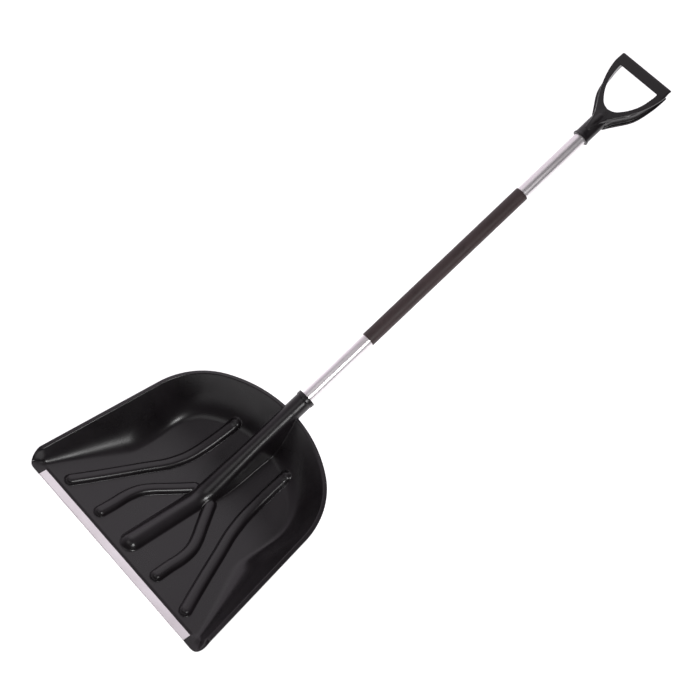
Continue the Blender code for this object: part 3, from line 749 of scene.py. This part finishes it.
def build_socket(material):
    """Round socket that leaves the ridge at the back of the scoop, with its collar."""
    inner = TUBE_RADIUS + FIT
    hidden = SOCKET_RADIUS - 0.0004
    profile = [(inner, SOCKET_START), (hidden, SOCKET_START), (hidden, SOCKET_LEAVES),
               (SOCKET_RADIUS + 0.00005, SOCKET_LEAVES + 0.005)]
    collar = SOCKET_MOUTH - COLLAR_LENGTH
    profile += [(SOCKET_RADIUS + 0.0001, along)
                for along in np.linspace(SOCKET_LEAVES + 0.008, collar - 0.0012, 8)]
    profile += [(SOCKET_RADIUS + 0.0004, collar - 0.0003), (COLLAR_RADIUS - 0.0004, collar),
                (COLLAR_RADIUS, collar + 0.0005), (COLLAR_RADIUS, SOCKET_MOUTH - 0.0010),
                (COLLAR_RADIUS - 0.0003, SOCKET_MOUTH - 0.0003),
                (COLLAR_RADIUS - 0.0010, SOCKET_MOUTH), (inner + 0.0008, SOCKET_MOUTH),
                (inner + 0.0002, SOCKET_MOUTH - 0.0003), (inner, SOCKET_MOUTH - 0.0009)]
    made = turned("scoop_socket", profile, material, 128)
    hand_over(made, "scoop_blade")
    return made


# ------------------------------------------------------- strip, tube, sleeve

def fold_outline():
    """Cross-section (y, z) of the folded strip, round over the nose."""
    top = WALL + FIT + STRIP_SHEET
    nose = -FIT - STRIP_SHEET
    back = STRIP_DEPTH
    sheet = STRIP_SHEET
    outer_round = 0.0014

    def corner(y, z, radius, first):
        angles = np.radians(np.linspace(first, first - 90, 6))
        return [(y + radius * math.cos(a), z + radius * math.sin(a)) for a in angles]

    outside = [(back, 0.00015), (back - 0.00015, 0)]
    outside += corner(nose + outer_round, outer_round, outer_round, 270)
    outside += corner(nose + outer_round, top - outer_round, outer_round, 180)
    outside += [(back - 0.0002, top), (back, top - 0.0002)]
    inside = [(back, top - sheet), (nose + sheet + 0.0004, top - sheet),
              (nose + sheet, top - sheet - 0.0004), (nose + sheet, sheet + 0.0004),
              (nose + sheet + 0.0004, sheet), (back, sheet)]
    return outside + inside


def build_strip(material):
    outline = fold_outline()
    stations = np.linspace(-STRIP_HALF, STRIP_HALF, 161)
    count = len(outline)
    points = []
    for x in stations:
        wave = 0.00006 * math.sin(x * 61) + 0.00004 * math.sin(x * 173 + 1)
        points += [(x, y + wave, z + wave * 0.5 * (z > 0.003)) for y, z in outline]
    loops = rings(len(stations), count)
    made = make_object("wear_strip", points, capped(loops), material, 40)
    hand_over(made, "edge_strip")
    return made


def build_tube(material):
    inner = TUBE_RADIUS - TUBE_WALL
    edge = 0.0003
    profile = [(inner, TUBE_START + edge), (inner + edge, TUBE_START),
               (TUBE_RADIUS - edge, TUBE_START)]
    profile += [(TUBE_RADIUS, along) for along in np.linspace(TUBE_START + edge,
                                                              TUBE_END - edge, 60)]
    profile += [(TUBE_RADIUS - edge, TUBE_END), (inner + edge, TUBE_END),
                (inner, TUBE_END - edge)]
    made = turned("shaft", profile, material, 96)
    hand_over(made, "shaft_tube")
    return made


def build_sleeve(material):
    inner = TUBE_RADIUS + FIT * 0.4
    lip = 0.0006
    profile = [(inner, SLEEVE_START + 0.0003), (inner + 0.0003, SLEEVE_START),
               (SLEEVE_RADIUS - lip, SLEEVE_START), (SLEEVE_RADIUS - 0.3 * lip,
                                                     SLEEVE_START + 0.3 * lip)]
    profile += [(SLEEVE_RADIUS, along) for along in np.linspace(SLEEVE_START + lip,
                                                                SLEEVE_END - lip, 60)]
    profile += [(SLEEVE_RADIUS - 0.3 * lip, SLEEVE_END - 0.3 * lip),
                (SLEEVE_RADIUS - lip, SLEEVE_END), (inner + 0.0003, SLEEVE_END),
                (inner, SLEEVE_END - 0.0003)]

    def gentle(angle, radius, along):
        if radius < SLEEVE_RADIUS - 0.0001:
            return radius, along
        return radius + 0.00005 * math.sin(along * 210 + 2 * angle), along

    made = turned("grip_sleeve", profile, material, 96, bend=gentle)
    hand_over(made, "mid_grip_sleeve")
    return made


# ------------------------------------------------------------------- screws

def build_screw(name, node, along, seat, material):
    """Pan-head self-tapping screw: cross recess in the head, thread on the shank."""
    sides, pitch, tooth_height, recess = 40, 0.0014, 0.0005, 0.0009
    levels = [(0.00001, 0.0028), (0.0010, 0.00275), (0.0019, 0.0026), (0.0029, 0.0021),
              (0.0036, 0.0013), (0.0039, 0.0006), (0.0039, 0.0004), (0.0037, FIT)]
    rows = [(radius, seat + height, 0.0) for radius, height in levels]
    rows.append((0.0019, seat + FIT, 0.0))
    tip = 0.0050
    for height in np.linspace(seat - 0.0002, tip, 60):
        rows.append((0.00135, height, tooth_height))
    rows.append((0.00001, tip - 0.0012, 0.0))
    points = []
    stand = Matrix.Translation((0, 0, along)) @ Matrix.Rotation(math.radians(-90), 4, "X")
    for radius, height, tooth in rows:
        for side in range(sides):
            angle = math.tau * side / sides
            phase = (height / pitch - side / sides) % 1.0
            reach = radius + tooth * max(0.0, 1 - abs(phase - 0.5) * 3.2)
            level = height
            if tooth == 0 and height > seat + 0.0024 and radius > 0.0001:
                arm = min(abs(math.sin(2 * angle)), 1.0)
                level -= recess * (arm < 0.45)
            if height > seat + 0.0027 and radius < 0.0001:
                level -= 0.0012
            spot = SHAFT @ stand @ Vector((reach * math.cos(angle), reach * math.sin(angle),
                                           level))
            points.append(tuple(spot))
    made = make_object(name, points, capped(rings(len(rows), sides)), material, 35)
    hand_over(made, node)
    return made


# ------------------------------------------------------------------- handle

FRONT_EDGE = [(0.0095, 0.0480), (0.0135, 0.0560), (0.0235, 0.0700), (0.0350, 0.0880),
              (0.0465, 0.1085), (0.0560, 0.1335), (0.0612, 0.1585), (0.0602, 0.1740)]
REAR_EDGE = [(0.0150, 0.0440), (0.0205, 0.0530), (0.0310, 0.0685), (0.0425, 0.0855),
             (0.0492, 0.1000), (0.0540, 0.1205), (0.0575, 0.1450), (0.0585, 0.1720)]
HAND_EDGE = [(0.0, 0.0740), (0.0120, 0.0775), (0.0219, 0.0865), (0.0323, 0.1010),
             (0.0406, 0.1190), (0.0450, 0.1400), (0.0463, 0.1535)]

# Heights off the shaft line, to the front (+) and to the rear (-)
FRONT_FLANGE = (0.0085, 0.0132)
REAR_FLANGE = (-0.0122, -0.0080)
WEB = (-0.0100, 0.0100)
WEB_SET_BACK = 0.0040       # how deep the channels along the fork's sides are
HUB_BACK = (-0.0122, 0.0060)
HAND_CUT = (-0.0135, 0.0140)
HAND_WIDER = (1.20, 1.09)   # the hand space's rear outline over its front one, low, high
FORK_TOP = 0.1700           # the fork's arms end inside the grip bar
BAR_MIDDLE = 0.1688
BAR_SLANT = 0.0075          # how far the bar's ends slant inward at the rear
SKIN_CELL = 0.00088         # cell of the mesh that runs the moulding together


def loose_object(name, points, faces):
    mesh = bpy.data.meshes.new(name)
    mesh.from_pydata(points, [], faces)
    made = bpy.data.objects.new(name, mesh)
    bpy.context.scene.collection.objects.link(made)
    return made


def slab(name, outline, low, high, rear=None):
    """Prism over an (x, along) outline between two heights off the shaft axis."""
    points = [(x, -level(x, s) if callable(level) else -level, HANDLE_MOUTH + s)
              for level, line in ((low, rear or outline), (high, outline)) for x, s in line]
    loops = rings(2, len(outline))
    return loose_object(name, points, [tuple(loops[0][::-1]), tuple(loops[1])] + skin(loops))


def both_sides(half):
    return half + [(-x, s) for x, s in reversed(half) if abs(x) > 0.0005]


def fork_outline(outer, inner):
    """Closed (x, along) outline of the fork between an outer and an inner half line."""
    outer = [tuple(point) for point in smooth_path(outer, 6)]
    inner = [tuple(point) for point in smooth_path(inner, 6)]
    ring = [(-x, s) for x, s in outer[::-1]] + outer
    ring += [(inner[-1][0], FORK_TOP)]
    ring += inner[::-1] + [(-x, s) for x, s in inner[1:]]
    ring += [(-inner[-1][0], FORK_TOP)]
    return ring


def join(target, other, operation="UNION"):
    step = target.modifiers.new("join", "BOOLEAN")
    step.operation = operation
    step.object = other
    step.solver = "EXACT"
    settle(target)
    bpy.data.objects.remove(other, do_unlink=True)


def rounded(corners):
    """Convex polygon of (x, y, radius) corners, each rounded off."""
    found = []
    for before, here, after in zip(corners[-1:] + corners, corners, corners[1:] + corners[:1]):
        spot = np.array(here[:2])
        back = np.array(before[:2]) - spot
        ahead = np.array(after[:2]) - spot
        back, ahead = back / np.linalg.norm(back), ahead / np.linalg.norm(ahead)
        half = math.acos(float(back @ ahead)) / 2
        bisector = (back + ahead) / np.linalg.norm(back + ahead)
        centre = spot + bisector * here[2] / math.sin(half)
        for share in np.linspace(0, 1, 8):
            touch = (1 - share) * (back * here[2] / math.tan(half)) \
                + share * (ahead * here[2] / math.tan(half))
            way = spot + touch - centre
            found.append(tuple(centre + way / np.linalg.norm(way) * here[2]))
    return found


def round_bar():
    """Grip bar: flat front face, slanted underneath, well rounded at the back."""
    section = rounded([(0.1558, 0.0134, 0.0014), (0.1818, 0.0134, 0.0050),
                       (0.1818, -0.0125, 0.0090), (0.1655, -0.0125, 0.0060)])
    ends = [(-0.0610, 0.90), (-0.0602, 0.97), (-0.0590, 1.0), (0.0590, 1.0), (0.0602, 0.97),
            (0.0610, 0.90)]
    points = []
    for x, share in ends:
        for s, n in section:
            inward = BAR_SLANT * min(max((0.0090 - n) / 0.0215, 0), 1)
            points.append((x - math.copysign(inward, x), -n * share,
                           HANDLE_MOUTH + BAR_MIDDLE + (s - BAR_MIDDLE) * share))
    return loose_object("bar", points, capped(rings(len(ends), len(section))))


def lathe_along(name, profile, sides=72):
    """Turned solid about the shaft line in the shaft's own coordinates."""
    points = []
    for radius, s in profile:
        for side in range(sides):
            angle = math.tau * side / sides
            points.append((radius * math.cos(angle), radius * math.sin(angle), HANDLE_MOUTH + s))
    return loose_object(name, points, capped(rings(len(profile), sides)))


def build_handle(material):
    """One moulding: socket, hub wedge, channelled fork and grip bar, run together."""
    def hub_front(_, s):
        return 0.0162 - 0.0030 * min(max(s - 0.018, 0) / 0.045, 1)

    web = [(x - WEB_SET_BACK, s + WEB_SET_BACK) for x, s in REAR_EDGE]
    handle = slab("d_grip", fork_outline(FRONT_EDGE, HAND_EDGE), *FRONT_FLANGE)
    join(handle, slab("rear flange", fork_outline(REAR_EDGE, HAND_EDGE), *REAR_FLANGE))
    join(handle, slab("web", fork_outline(web, HAND_EDGE), *WEB))
    join(handle, round_bar())
    wedge = both_sides([(0.0, 0.0180), (0.0040, 0.0190), (0.0068, 0.0300), (0.0095, 0.0420),
                        (0.0150, 0.0560), (0.0235, 0.0700), (0.0100, 0.0770), (0.0, 0.0760)])
    join(handle, slab("hub wedge", wedge, -0.0060, hub_front))
    back = both_sides([(0.0, 0.0300), (0.0090, 0.0400), (0.0160, 0.0520), (0.0240, 0.0700),
                       (0.0100, 0.0770), (0.0, 0.0760)])
    join(handle, slab("hub back", back, *HUB_BACK))
    socket = lathe_along("socket", [(0.0004, 0.0740), (0.0060, 0.0735), (0.0100, 0.0700),
                                    (0.0130, 0.0640), (0.0150, 0.0560), (0.0158, 0.0440),
                                    (0.0156, 0.0200), (0.0157, 0.0075), (0.0164, 0.0045),
                                    (0.0175, 0.0018), (0.0174, 0.0)])
    join(handle, socket)
    front = [tuple(p) for p in smooth_path(HAND_EDGE, 6)] + [(0.0463, 0.1560)]
    front += [(-x, s) for x, s in front[:0:-1]]
    low, high = HAND_WIDER
    rear = [(x * (low + (high - low) * float(ramp(s, (0.09, 0.14)))),
             s + 0.003 * (s - 0.08) / 0.08 if s < 0.155 else FORK_TOP) for x, s in front]
    join(handle, slab("hand space", front, *HAND_CUT, rear), "DIFFERENCE")
    bore = lathe_along("bore", [(TUBE_RADIUS + FIT, 0.0640), (TUBE_RADIUS + FIT, 0.0018),
                                (TUBE_RADIUS + FIT + 0.0020, -0.0010)])
    join(handle, bore, "DIFFERENCE")
    shape = handle.modifiers.new("one skin", "REMESH")
    shape.mode = "VOXEL"
    shape.voxel_size = SKIN_CELL
    calm = handle.modifiers.new("soft edges", "SMOOTH")
    calm.factor = 0.5
    calm.iterations = 3
    settle(handle)
    handle.data.transform(Matrix.Translation((0, -ORIGIN_BEHIND_EDGE, 0)) @ SHAFT)
    handle.data.materials.clear()
    handle.data.materials.append(material)
    handle.data.shade_smooth()
    hand_over(handle, "d_handle")
    return handle


# --------------------------------------------------------------------- studio

BRIGHT_SIDE = (-0.60, 0.45, 0.0)


def add_light(name, place, target, size, power):
    lamp = bpy.data.lights.new(name, "AREA")
    lamp.shape = "RECTANGLE"
    lamp.size, lamp.size_y = size
    lamp.energy = power
    made = bpy.data.objects.new(name, lamp)
    made.location = place
    made.rotation_euler = (Vector(target) - Vector(place)).to_track_quat("-Z", "Y").to_euler()
    bpy.context.scene.collection.objects.link(made)


def build_studio():
    size, level = 6.0, -0.0015
    mesh = bpy.data.meshes.new("floor")
    mesh.from_pydata([(-size, -size, level), (size, -size, level), (size, size, level),
                      (-size, size, level)], [], [(0, 1, 2, 3)])
    mesh.materials.append(studio_floor())
    floor = bpy.data.objects.new("studio floor", mesh)
    bpy.context.scene.collection.objects.link(floor)
    bpy.context.scene.world = studio_air()
    bpy.context.scene.view_settings.view_transform = "Standard"
    add_light("right key", (1.75, -0.28, 1.70), (-0.05, 0.15, 0), (0.45, 0.45), 20)
    add_light("front box", (-0.15, -1.15, 2.10), (0, 0.4, 0.1), (1.3, 1.0), 4.6)
    add_light("overhead box", (-1.00, 0.90, 2.00), (0, 0.5, 0.1), (1.6, 1.4), 3.0)


def studio_air():
    """Soft light from the left and back, falling off to a dark right side."""
    world = bpy.data.worlds.new("studio air")
    world.use_nodes = True
    tree = world.node_tree
    way = add_node(tree, "ShaderNodeTexCoord").outputs["Generated"]
    lean = add_node(tree, "ShaderNodeVectorMath", {0: way, 1: BRIGHT_SIDE},
                    operation="DOT_PRODUCT").outputs["Value"]
    fade = add_node(tree, "ShaderNodeMapRange", {
        "Value": lean, "From Min": -0.30, "From Max": 0.60, "To Min": 0.22, "To Max": 0.96})
    steeper = add_node(tree, "ShaderNodeMath", {0: fade.outputs["Result"], 1: 2.0},
                       operation="POWER").outputs[0]
    fill(tree.nodes["Background"], {"Color": (1, 0.91, 1.0, 1), "Strength": steeper})
    return world


def build_camera():
    lens = bpy.data.cameras.new("camera")
    lens.lens = 71.185
    lens.sensor_width = 36
    made = bpy.data.objects.new("camera", lens)
    made.location = (0.790348, -1.041867, 2.096914)
    made.rotation_euler = [math.radians(angle) for angle in (40.212, -16.072, 45.448)]
    bpy.context.scene.collection.objects.link(made)
    bpy.context.scene.camera = made


def build_everything():
    moulded = moulded_plastic()
    tube_metal = drawn_aluminium("drawn aluminium tube", (1, 1, 0.012),
                                 (SHAFT_ANGLE - math.pi / 2, 0, 0))
    strip_metal = drawn_aluminium("rolled aluminium strip", (0.015, 1, 1), (0, 0, 0))
    zinc = zinc_steel()
    build_blade(moulded)
    build_socket(moulded)
    build_strip(strip_metal)
    build_tube(tube_metal)
    build_sleeve(grip_plastic())
    build_screw("socket_screw", "blade_screw", BLADE_SCREW_AT, SOCKET_RADIUS, zinc)
    build_screw("grip_screw", "handle_screw", HANDLE_SCREW_AT, HANDLE_SOCKET, zinc)
    build_handle(moulded)
    build_studio()
    build_camera()


build_everything()
